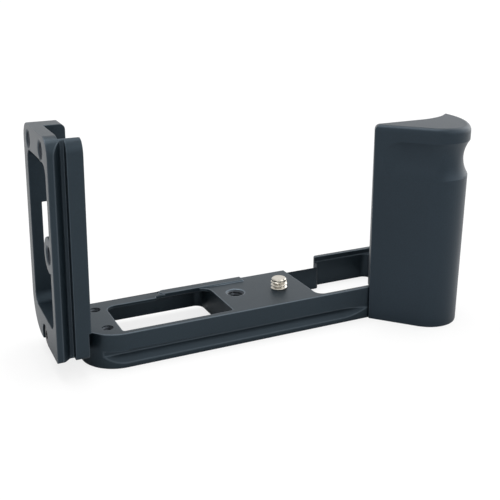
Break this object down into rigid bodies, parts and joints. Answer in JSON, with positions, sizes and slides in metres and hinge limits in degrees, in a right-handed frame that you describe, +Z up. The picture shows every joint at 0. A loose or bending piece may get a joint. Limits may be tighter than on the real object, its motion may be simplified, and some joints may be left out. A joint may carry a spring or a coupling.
{
  "type": "quick release plate",
  "caption": "Long camera plate with a dovetail foot, an upright dovetail side plate at one end and a tall hand grip at the other.",
  "frame": {"origin": "axis of the camera screw, in the plane of the foot's underside", "axes": "+X along the plate from the side plate to the hand grip, +Y from the front to the back, +Z up"},
  "size_m": [0.1626, 0.0601, 0.0822],
  "materials": {
    "anodised_plate": "satin",
    "anodised_grip": "satin",
    "stainless": "satin",
    "black_steel": "satin"
  },
  "bodies": {
    "bracket": {"base_plate": "anodised_plate", "side_plate": "anodised_plate", "hand_grip": "anodised_grip", "side_screw": "black_steel", "side_pin_front": "stainless", "side_pin_rear": "stainless", "grip_screw_left": "black_steel", "grip_screw_right": "black_steel"},
    "washer": {"screw_washer": "stainless"},
    "camera_screw": {"camera_screw": "stainless"}
  },
  "joints": [
    {"name": "screw_lift", "type": "slide", "parent": "bracket", "child": "washer", "axis": [0, 0, 1], "range_m": [0, 0.0016]},
    {"name": "screw_turn", "type": "hinge", "parent": "washer", "child": "camera_screw", "pos_m": [0, 0, 0], "axis": [0, 0, 1], "continuous": true}
  ]
}
